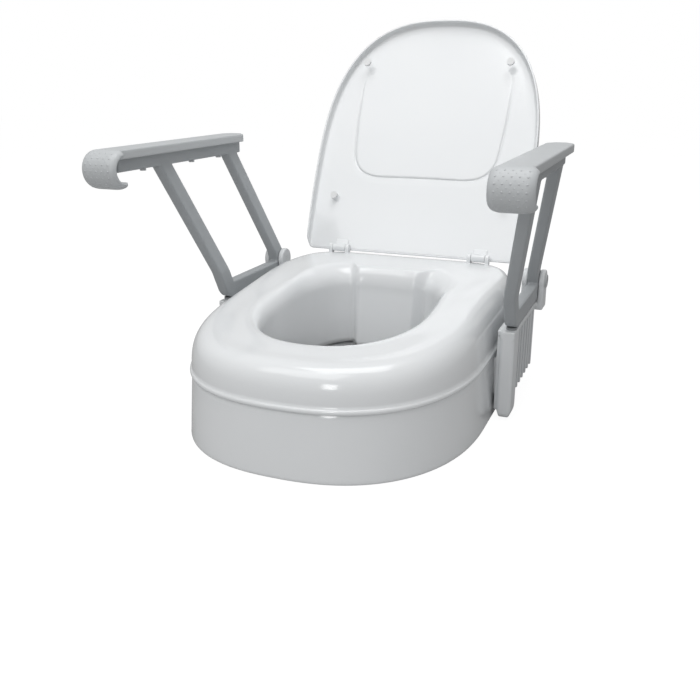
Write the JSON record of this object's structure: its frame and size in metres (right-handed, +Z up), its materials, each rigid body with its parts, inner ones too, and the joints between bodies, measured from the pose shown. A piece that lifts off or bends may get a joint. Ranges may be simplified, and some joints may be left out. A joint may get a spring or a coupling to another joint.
{
  "type": "raised toilet seat",
  "caption": "Raised toilet seat with a domed shell, a skirt that hides the bowl's rim, a hinged lid and fold-up armrests with curled grips.",
  "frame": {"origin": "at floor level under the middle of the object with its lid open", "axes": "+Z up, -Y towards the front of the seat, +X across"},
  "size_m": [0.5418, 0.6828, 0.5345],
  "materials": {
    "white_shell": "gloss moulded plastic",
    "arm_plastic": "satin moulded plastic",
    "bracket_plastic": "satin moulded plastic",
    "rubber": "matte rubber",
    "grey_rubber": "grey rubber stops",
    "pale_rubber": "white soft buffers",
    "steel": "plain steel"
  },
  "bodies": {
    "seat": {"seat_shell": "white_shell", "base_skirt": "white_shell", "shell_screws": "steel", "rim_pads": "rubber", "lid_pin_left": "steel", "lid_pin_right": "steel", "arm_bracket_left": "bracket_plastic", "arm_bracket_right": "bracket_plastic", "bracket_screws_left": "steel", "bracket_screws_right": "steel", "pivot_pin_left": "steel", "pivot_pin_right": "steel", "pivot_cap_left": "arm_plastic", "pivot_cap_right": "arm_plastic", "arm_stop_left": "grey_rubber", "arm_stop_right": "grey_rubber"},
    "lid": {"lid": "white_shell", "lid_buffers": "pale_rubber"},
    "arm_left": {"arm_frame_left": "arm_plastic", "arm_pad_left": "arm_plastic", "pad_screws_left": "steel"},
    "arm_right": {"arm_frame_right": "arm_plastic", "arm_pad_right": "arm_plastic", "pad_screws_right": "steel"},
    "clamp_left": {"clamp_jaw_left": "bracket_plastic", "clamp_face_left": "rubber"},
    "clamp_right": {"clamp_jaw_right": "bracket_plastic", "clamp_face_right": "rubber"},
    "clamp_screw_left": {"clamp_stud_left": "steel", "clamp_knob_left": "arm_plastic"},
    "clamp_screw_right": {"clamp_stud_right": "steel", "clamp_knob_right": "arm_plastic"}
  },
  "joints": [
    {"name": "lid_hinge", "type": "hinge", "parent": "seat", "child": "lid", "pos_m": [0, 0.14857, 0.1724], "axis": [1, 0, 0], "range_deg": [0, 119.5]},
    {"name": "arm_left_fold", "type": "hinge", "parent": "seat", "child": "arm_left", "pos_m": [-0.214, 0.10857, 0.155], "axis": [-1, 0, 0], "range_deg": [0, 95]},
    {"name": "arm_right_fold", "type": "hinge", "parent": "seat", "child": "arm_right", "pos_m": [0.214, 0.10857, 0.155], "axis": [-1, 0, 0], "range_deg": [0, 95]},
    {"name": "clamp_left_slide", "type": "slide", "parent": "seat", "child": "clamp_left", "axis": [-1, 0, 0], "range_m": [0, 0.012]},
    {"name": "clamp_right_slide", "type": "slide", "parent": "seat", "child": "clamp_right", "axis": [1, 0, 0], "range_m": [0, 0.012]},
    {"name": "clamp_left_turn", "type": "hinge", "parent": "seat", "child": "clamp_screw_left", "pos_m": [-0.084, -0.10943, 0.034], "axis": [0, 0, 1], "range_deg": [0, 540]},
    {"name": "clamp_right_turn", "type": "hinge", "parent": "seat", "child": "clamp_screw_right", "pos_m": [0.084, -0.10943, 0.034], "axis": [0, 0, 1], "range_deg": [0, 540]}
  ]
}
